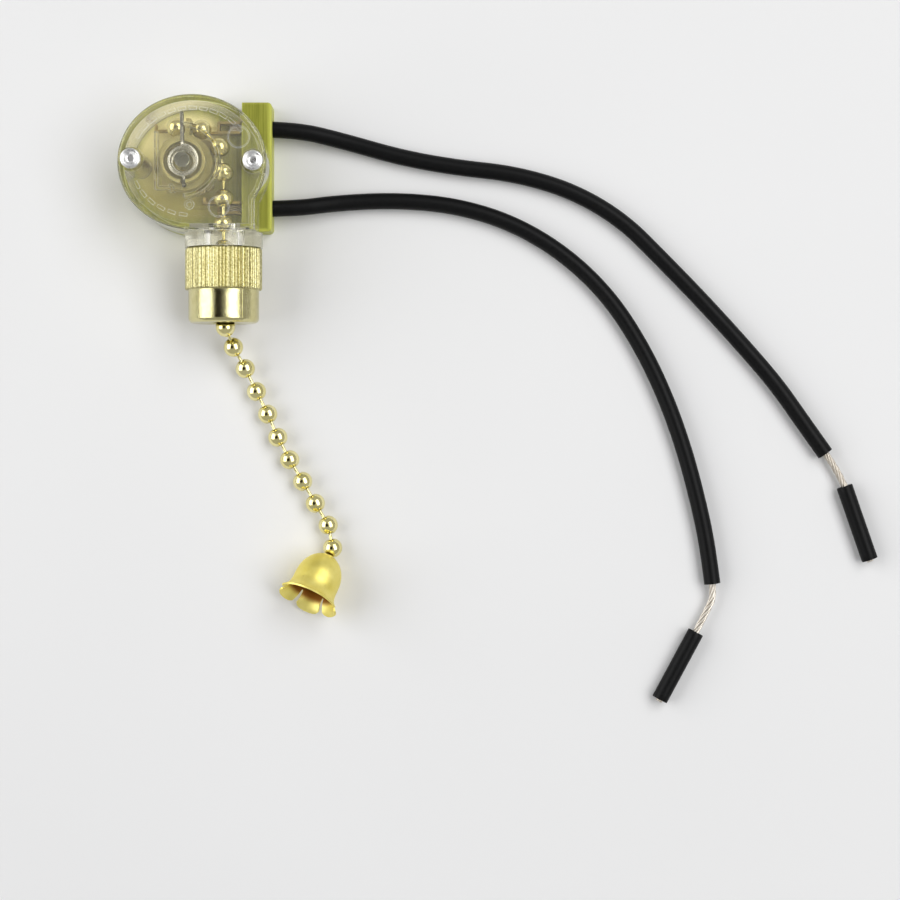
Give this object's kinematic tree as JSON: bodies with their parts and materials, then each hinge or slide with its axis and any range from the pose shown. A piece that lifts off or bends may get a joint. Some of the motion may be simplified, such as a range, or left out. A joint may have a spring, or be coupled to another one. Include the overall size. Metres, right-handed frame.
{
  "type": "pull chain switch",
  "caption": "Pull chain light switch: clear housing on a green base, threaded neck with knurled nut, ball chain with bell, leads.",
  "frame": {"origin": "where the drum's axis meets the flat back face of the base", "axes": "+Z out of the front of the clear housing, +X towards the leads, the threaded neck points along -Y"},
  "size_m": [0.1245, 0.0992, 0.0143],
  "materials": {
    "clear_plastic": "clear polished polycarbonate",
    "green_plastic": "translucent olive green moulding",
    "rivet_steel": "bright plated steel",
    "brass_plate": "polished brass plate, knurled",
    "natural_nylon": "natural translucent nylon",
    "spring_steel": "bright spring wire",
    "brown_plastic": "brown phenolic",
    "contact_brass": "plain stamped brass",
    "chain_brass": "bright brass plate",
    "bell_gold": "satin gold lacquered brass",
    "tinned_copper": "tinned twisted strands",
    "black_pvc": "satin black PVC"
  },
  "bodies": {
    "root": {"clear_housing": "clear_plastic", "base_block": "green_plastic", "rivets": "rivet_steel", "return_spring": "spring_steel", "terminal_upper": "contact_brass", "terminal_lower": "contact_brass", "detent_leaf": "contact_brass", "upper_lead_insulation": "black_pvc", "upper_lead_conductor": "tinned_copper", "upper_lead_slug": "black_pvc", "lower_lead_insulation": "black_pvc", "lower_lead_conductor": "tinned_copper", "lower_lead_slug": "black_pvc"},
    "nut": {"knurled_nut": "brass_plate"},
    "chain": {"inner_beads": "chain_brass", "inner_links": "chain_brass"},
    "drum": {"chain_drum": "natural_nylon", "drum_beads": "chain_brass", "drum_links": "chain_brass"},
    "rotor": {"contact_rotor": "brown_plastic", "contact_bridge": "contact_brass"},
    "link_02": {"chain_bead_02": "chain_brass", "chain_link_02": "chain_brass"},
    "link_03": {"chain_bead_03": "chain_brass", "chain_link_03": "chain_brass"},
    "link_04": {"chain_bead_04": "chain_brass", "chain_link_04": "chain_brass"},
    "link_05": {"chain_bead_05": "chain_brass", "chain_link_05": "chain_brass"},
    "link_06": {"chain_bead_06": "chain_brass", "chain_link_06": "chain_brass"},
    "link_07": {"chain_bead_07": "chain_brass", "chain_link_07": "chain_brass"},
    "link_08": {"chain_bead_08": "chain_brass", "chain_link_08": "chain_brass"},
    "link_09": {"chain_bead_09": "chain_brass", "chain_link_09": "chain_brass"},
    "link_10": {"chain_bead_10": "chain_brass", "chain_link_10": "chain_brass"},
    "link_11": {"chain_bead_11": "chain_brass", "chain_link_11": "chain_brass"},
    "bell": {"pull_bell": "bell_gold", "bell_end_bead": "chain_brass", "bell_end_link": "chain_brass"}
  },
  "joints": [
    {"name": "chain_pull", "type": "slide", "parent": "root", "child": "chain", "axis": [0, -1, 0], "range_m": [0, 0.008], "stiffness_N_per_m": 300, "springref_m": -0.003},
    {"name": "drum_turn", "type": "hinge", "parent": "root", "child": "drum", "pos_m": [0, 0, 0.007], "axis": [0, 0, -1], "range_deg": [0, 76], "deforming": ["return_spring"]},
    {"name": "rotor_step", "type": "hinge", "parent": "root", "child": "rotor", "pos_m": [0, 0, 0.0035], "axis": [0, 0, -1], "continuous": true},
    {"name": "nut_turn", "type": "hinge", "parent": "root", "child": "nut", "pos_m": [0.00615, -0.02, 0.00642], "axis": [0, -1, 0], "continuous": true},
    {"name": "chain_swivel_02", "type": "hinge", "parent": "chain", "child": "link_02", "pos_m": [0.0064, -0.02665, 0.00615], "axis": [0, 0, 1], "range_deg": [-12, 12]},
    {"name": "chain_swivel_03", "type": "hinge", "parent": "link_02", "child": "link_03", "pos_m": [0.00747, -0.02984, 0.00363], "axis": [0, 0, 1], "range_deg": [-12, 12]},
    {"name": "chain_swivel_04", "type": "hinge", "parent": "link_03", "child": "link_04", "pos_m": [0.00928, -0.03332, 0.00215], "axis": [0, 0, 1], "range_deg": [-12, 12]},
    {"name": "chain_swivel_05", "type": "hinge", "parent": "link_04", "child": "link_05", "pos_m": [0.01107, -0.03708, 0.00162], "axis": [0, 0, 1], "range_deg": [-12, 12]},
    {"name": "chain_swivel_06", "type": "hinge", "parent": "link_05", "child": "link_06", "pos_m": [0.01295, -0.04084, 0.00162], "axis": [0, 0, 1], "range_deg": [-12, 12]},
    {"name": "chain_swivel_07", "type": "hinge", "parent": "link_06", "child": "link_07", "pos_m": [0.01462, -0.04469, 0.00162], "axis": [0, 0, 1], "range_deg": [-12, 12]},
    {"name": "chain_swivel_08", "type": "hinge", "parent": "link_07", "child": "link_08", "pos_m": [0.01659, -0.0484, 0.00162], "axis": [0, 0, 1], "range_deg": [-12, 12]},
    {"name": "chain_swivel_09", "type": "hinge", "parent": "link_08", "child": "link_09", "pos_m": [0.01876, -0.052, 0.00162], "axis": [0, 0, 1], "range_deg": [-12, 12]},
    {"name": "chain_swivel_10", "type": "hinge", "parent": "link_09", "child": "link_10", "pos_m": [0.02086, -0.05564, 0.00162], "axis": [0, 0, 1], "range_deg": [-12, 12]},
    {"name": "chain_swivel_11", "type": "hinge", "parent": "link_10", "child": "link_11", "pos_m": [0.02299, -0.05926, 0.00162], "axis": [0, 0, 1], "range_deg": [-12, 12]},
    {"name": "bell_swing", "type": "hinge", "parent": "link_11", "child": "bell", "pos_m": [0.02372, -0.06304, 0.00162], "axis": [0, 0, 1], "range_deg": [-12, 12]}
  ],
  "couplings": [
    {"joint": "drum_turn", "follows": "chain_pull", "rad_per_m": 162.6}
  ]
}
